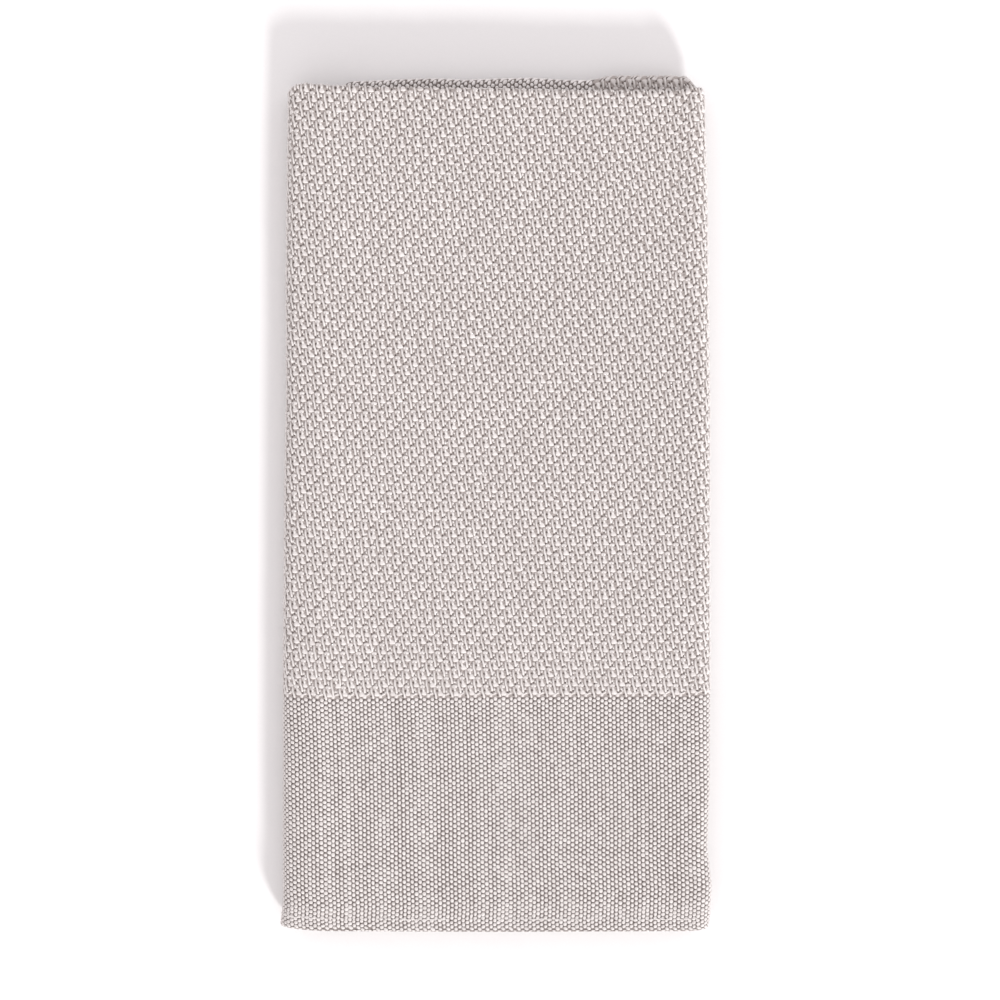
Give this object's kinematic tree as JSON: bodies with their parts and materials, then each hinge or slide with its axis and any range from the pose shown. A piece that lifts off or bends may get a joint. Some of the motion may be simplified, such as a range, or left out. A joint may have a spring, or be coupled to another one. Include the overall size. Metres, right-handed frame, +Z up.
{
  "type": "folded bath towel",
  "caption": "Flat-woven bath towel with a lattice weave centre and a plain border, folded in thirds both ways into a flat rectangle.",
  "frame": {"origin": "middle of the footprint of the folded towel, on the surface that it lies on", "axes": "+Y along the folded length, towards the crosswise fold at the top of the picture; +X to the right of the picture; +Z up from the surface, out of the face that shows"},
  "size_m": [0.2082, 0.4152, 0.0209],
  "materials": {
    "woven_cotton": "matt flat weave of near-white warp yarns and grey-taupe weft yarns"
  },
  "bodies": {
    "root": {"towel_cloth": "woven_cotton"}
  },
  "joints": []
}
